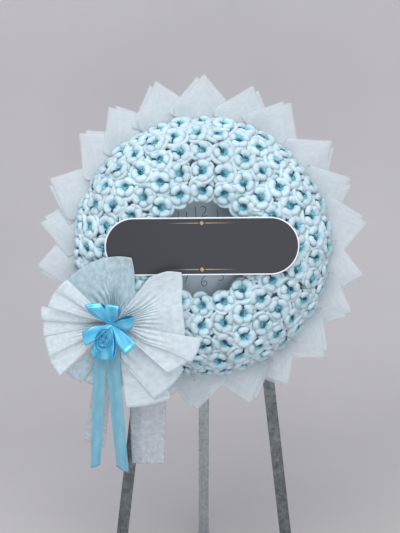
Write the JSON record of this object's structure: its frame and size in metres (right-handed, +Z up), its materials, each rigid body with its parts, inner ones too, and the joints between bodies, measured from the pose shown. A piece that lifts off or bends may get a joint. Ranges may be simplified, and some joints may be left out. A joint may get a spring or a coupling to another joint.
{
  "type": "clock wreath on a folding tripod easel",
  "caption": "Round memorial wreath of folded fabric flowers around a wall clock, with a sign, a ribbon bow and a pointed fabric collar, on a folding steel tripod easel.",
  "frame": {"origin": "middle of the bounding box, on the floor under the easel", "axes": "+Z up, the wreath's front faces -Y, +X to the right of a person who looks at the front"},
  "size_m": [0.9268, 0.4852, 1.5229],
  "materials": {
    "flower_fabric": "matte",
    "foam": "matte",
    "plywood": "matte",
    "nonwoven_fabric": "matte",
    "clock_case_plastic": "satin",
    "dial_card": "matte",
    "lens_glass": "gloss",
    "hand_metal": "satin",
    "movement_plastic": "matte",
    "sign_acrylic": "satin",
    "zinc_steel": "satin",
    "satin_ribbon": "satin",
    "galvanised_steel": "satin",
    "shoe_rubber": "matte"
  },
  "bodies": {
    "root": {"flower_row_1_inner": "flower_fabric", "flower_row_2_crest": "flower_fabric", "flower_row_3": "flower_fabric", "flower_row_4": "flower_fabric", "flower_row_5_outer": "flower_fabric", "foam_ring": "foam", "backing_board": "plywood", "collar_petal_01": "nonwoven_fabric", "collar_petal_02": "nonwoven_fabric", "collar_petal_03": "nonwoven_fabric", "collar_petal_04": "nonwoven_fabric", "collar_petal_05": "nonwoven_fabric", "collar_petal_06": "nonwoven_fabric", "collar_petal_07": "nonwoven_fabric", "collar_petal_08": "nonwoven_fabric", "collar_petal_09": "nonwoven_fabric", "collar_petal_10": "nonwoven_fabric", "collar_petal_11": "nonwoven_fabric", "collar_petal_12": "nonwoven_fabric", "collar_petal_13": "nonwoven_fabric", "collar_petal_14": "nonwoven_fabric", "collar_petal_15": "nonwoven_fabric", "collar_petal_16": "nonwoven_fabric", "collar_petal_17": "nonwoven_fabric", "collar_petal_18": "nonwoven_fabric", "collar_petal_19": "nonwoven_fabric", "collar_petal_20": "nonwoven_fabric", "collar_petal_21": "nonwoven_fabric", "collar_petal_22": "nonwoven_fabric", "bow_strip_1_back": "nonwoven_fabric", "bow_strip_2": "nonwoven_fabric", "bow_strip_3": "nonwoven_fabric", "bow_strip_4_front": "nonwoven_fabric", "bow_tail_left": "nonwoven_fabric", "bow_tail_right": "nonwoven_fabric", "clock_case": "clock_case_plastic", "clock_dial": "dial_card", "clock_lens": "lens_glass", "clock_movement": "movement_plastic", "sign_board": "sign_acrylic", "sign_pin_left": "zinc_steel", "sign_pin_right": "zinc_steel", "hinge_bolt": "zinc_steel", "board_hanger": "zinc_steel", "satin_loops": "satin_ribbon", "satin_knot": "satin_ribbon", "satin_tail_left": "satin_ribbon", "satin_tail_right": "satin_ribbon", "easel_leg_left": "galvanised_steel", "easel_leg_right": "galvanised_steel", "easel_head": "galvanised_steel", "foot_left": "shoe_rubber", "foot_right": "shoe_rubber"},
    "rear_leg": {"easel_leg_rear": "galvanised_steel", "foot_rear": "shoe_rubber"},
    "hour_hand": {"clock_hour_hand": "hand_metal"},
    "minute_hand": {"clock_minute_hand": "hand_metal"},
    "second_hand": {"clock_second_hand": "hand_metal"}
  },
  "joints": [
    {"name": "rear_leg_fold", "type": "hinge", "parent": "root", "child": "rear_leg", "pos_m": [0.00604, 0.13127, 1.37642], "axis": [-1, 0, 0], "range_deg": [0, 14]},
    {"name": "second_hand_turn", "type": "hinge", "parent": "root", "child": "second_hand", "pos_m": [0.00006, -0.01038, 1.05108], "axis": [0, 0.9848, -0.1736], "continuous": true},
    {"name": "minute_hand_turn", "type": "hinge", "parent": "root", "child": "minute_hand", "pos_m": [0.00006, -0.01038, 1.05108], "axis": [0, 0.9848, -0.1736], "continuous": true},
    {"name": "hour_hand_turn", "type": "hinge", "parent": "root", "child": "hour_hand", "pos_m": [0.00006, -0.01038, 1.05108], "axis": [0, 0.9848, -0.1736], "continuous": true}
  ],
  "couplings": [
    {"joint": "minute_hand_turn", "follows": "second_hand_turn", "ratio": 0.016667},
    {"joint": "hour_hand_turn", "follows": "second_hand_turn", "ratio": 0.0013889}
  ]
}
